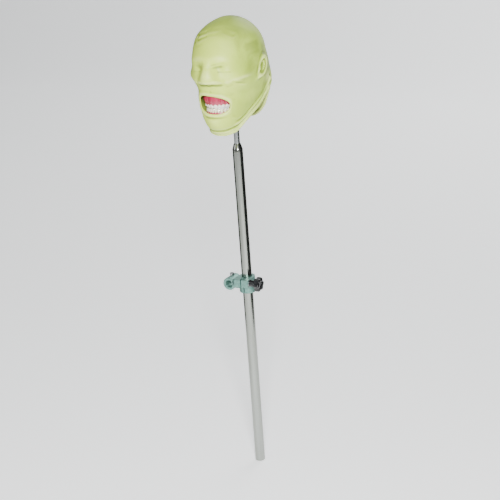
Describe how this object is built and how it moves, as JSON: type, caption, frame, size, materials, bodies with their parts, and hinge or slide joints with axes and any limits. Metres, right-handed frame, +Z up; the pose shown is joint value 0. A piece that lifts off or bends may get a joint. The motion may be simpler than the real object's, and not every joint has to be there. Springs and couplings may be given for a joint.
{
  "type": "dental phantom head",
  "caption": "Dental teaching head with a rubber face mask, open mouth and full upper and lower practice jaws, on a jointed neck and a pole held by a bench bar clamp.",
  "frame": {"origin": "centre of the pole's lower end, level with its plugged end", "axes": "+Z up the pole, -Y the way the face looks, X = 0 the head's plane of symmetry"},
  "size_m": [0.158, 0.1996, 0.988],
  "materials": {
    "cast_alloy": "satin",
    "bright_steel": "turned",
    "dark_steel": "satin",
    "black_knob": "gloss",
    "polished_pole": "polished",
    "black_plug": "matte",
    "frame_alloy": "satin",
    "shell_plastic": "matte",
    "mask_rubber": "satin",
    "jaw_plate": "matte",
    "gum": "wet gloss",
    "enamel": "gloss",
    "brass_screw": "knurled"
  },
  "bodies": {
    "clamp": {"clamp_body": "cast_alloy", "bar_screw": "bright_steel", "clamp_bolt": "dark_steel"},
    "washer": {"knob_washer": "bright_steel"},
    "knob": {"clamp_knob": "black_knob"},
    "pole": {"pole_tube": "polished_pole", "pole_end_plug": "black_plug", "pole_reducer": "polished_pole"},
    "neck": {"neck_stem": "bright_steel", "neck_fork": "bright_steel", "tilt_pin": "bright_steel"},
    "neck_link": {"neck_block": "bright_steel"},
    "head": {"head_bracket": "frame_alloy", "nod_pin": "bright_steel", "bracket_screws": "bright_steel", "skull_frame": "frame_alloy", "skull_front_shell": "shell_plastic", "skull_rear_shell": "shell_plastic", "shell_screws": "bright_steel", "face_mask": "mask_rubber", "upper_jaw_base": "jaw_plate", "upper_gum": "gum", "upper_tooth_screws": "bright_steel", "upper_base_thumbscrew": "brass_screw", "jaw_hinge_pins": "bright_steel", "upper_left_central_incisor": "enamel", "upper_left_lateral_incisor": "enamel", "upper_left_canine": "enamel", "upper_left_first_premolar": "enamel", "upper_left_second_premolar": "enamel", "upper_left_first_molar": "enamel", "upper_left_second_molar": "enamel", "upper_right_central_incisor": "enamel", "upper_right_lateral_incisor": "enamel", "upper_right_canine": "enamel", "upper_right_first_premolar": "enamel", "upper_right_second_premolar": "enamel", "upper_right_first_molar": "enamel", "upper_right_second_molar": "enamel"},
    "mandible": {"mandible_frame": "frame_alloy", "lower_jaw_base": "jaw_plate", "lower_gum": "gum", "lower_tooth_screws": "bright_steel", "lower_base_thumbscrew": "brass_screw", "chin_form": "shell_plastic", "chin_screws": "bright_steel", "lower_left_central_incisor": "enamel", "lower_left_lateral_incisor": "enamel", "lower_left_canine": "enamel", "lower_left_first_premolar": "enamel", "lower_left_second_premolar": "enamel", "lower_left_first_molar": "enamel", "lower_left_second_molar": "enamel", "lower_right_central_incisor": "enamel", "lower_right_lateral_incisor": "enamel", "lower_right_canine": "enamel", "lower_right_first_premolar": "enamel", "lower_right_second_premolar": "enamel", "lower_right_first_molar": "enamel", "lower_right_second_molar": "enamel"}
  },
  "joints": [
    {"name": "washer_travel", "type": "slide", "parent": "clamp", "child": "washer", "axis": [1, 0, 0], "range_m": [0, 0.00125]},
    {"name": "knob_turn", "type": "hinge", "parent": "washer", "child": "knob", "pos_m": [0.04, -0.021, 0.43], "axis": [1, 0, 0], "range_deg": [0, 360]},
    {"name": "pole_height", "type": "slide", "parent": "clamp", "child": "pole", "axis": [0, 0, 1], "range_m": [-0.24, 0.36]},
    {"name": "head_swivel", "type": "hinge", "parent": "pole", "child": "neck", "pos_m": [0, 0, 0.75], "axis": [0, 0, 1], "range_deg": [-170, 170]},
    {"name": "neck_tilt", "type": "hinge", "parent": "neck", "child": "neck_link", "pos_m": [0, 0, 0.792], "axis": [0, 1, 0], "range_deg": [-20, 20]},
    {"name": "neck_nod", "type": "hinge", "parent": "neck_link", "child": "head", "pos_m": [0, 0, 0.82], "axis": [-1, 0, 0], "range_deg": [-25, 35]},
    {"name": "jaw_open", "type": "hinge", "parent": "head", "child": "mandible", "pos_m": [0, -0.015, 0.88], "axis": [1, 0, 0], "range_deg": [0, 25], "deforming": ["face_mask"]}
  ],
  "couplings": [
    {"joint": "knob_turn", "follows": "washer_travel", "rad_per_m": 5026.5}
  ]
}
